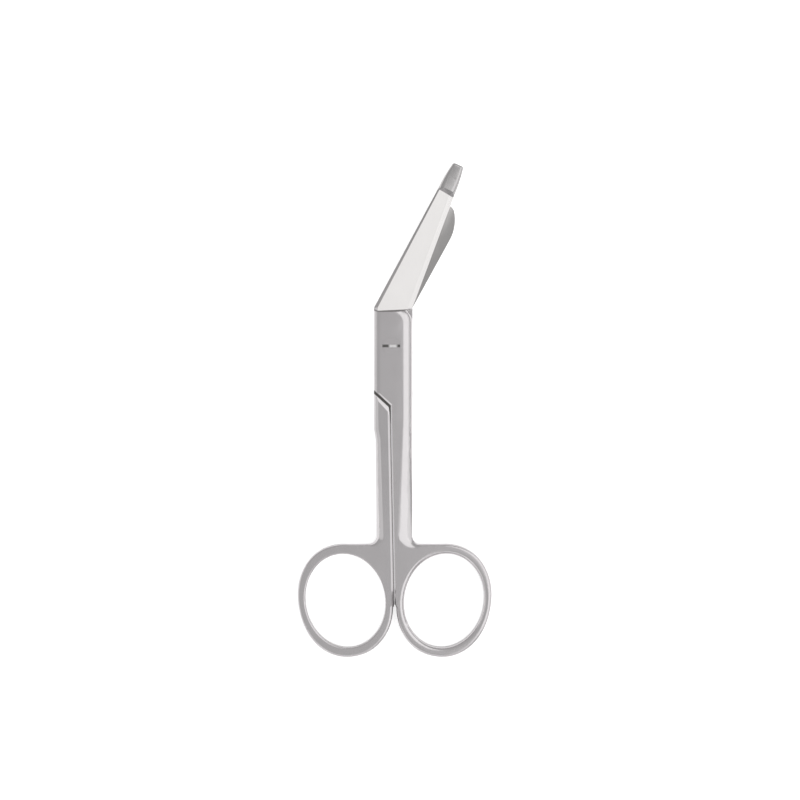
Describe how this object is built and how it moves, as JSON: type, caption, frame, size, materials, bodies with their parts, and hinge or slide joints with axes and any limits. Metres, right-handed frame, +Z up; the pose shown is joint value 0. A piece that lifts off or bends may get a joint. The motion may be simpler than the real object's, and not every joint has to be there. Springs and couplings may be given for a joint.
{
  "type": "bandage scissors",
  "caption": "Angled bandage scissors in satin stainless steel with a blunt probe on the longer blade, a flush slotted pivot screw and oval finger rings.",
  "frame": {"origin": "on the pivot axis, in the plane of the joint's back face, which lies on the table", "axes": "+Z up from the table along the pivot axis, +Y along the shanks from the rings to the blades, +X to the side that the blades bend to"},
  "size_m": [0.057, 0.1455, 0.0052],
  "materials": {
    "satin_steel": "satin",
    "screw_steel": "satin"
  },
  "bodies": {
    "short_half": {"short_blade_half": "satin_steel", "pivot_screw": "screw_steel"},
    "probe_half": {"probe_blade_half": "satin_steel"}
  },
  "joints": [
    {"name": "pivot", "type": "hinge", "parent": "short_half", "child": "probe_half", "pos_m": [0, 0, 0.0026], "axis": [0, 0, 1], "range_deg": [0, 120]}
  ]
}
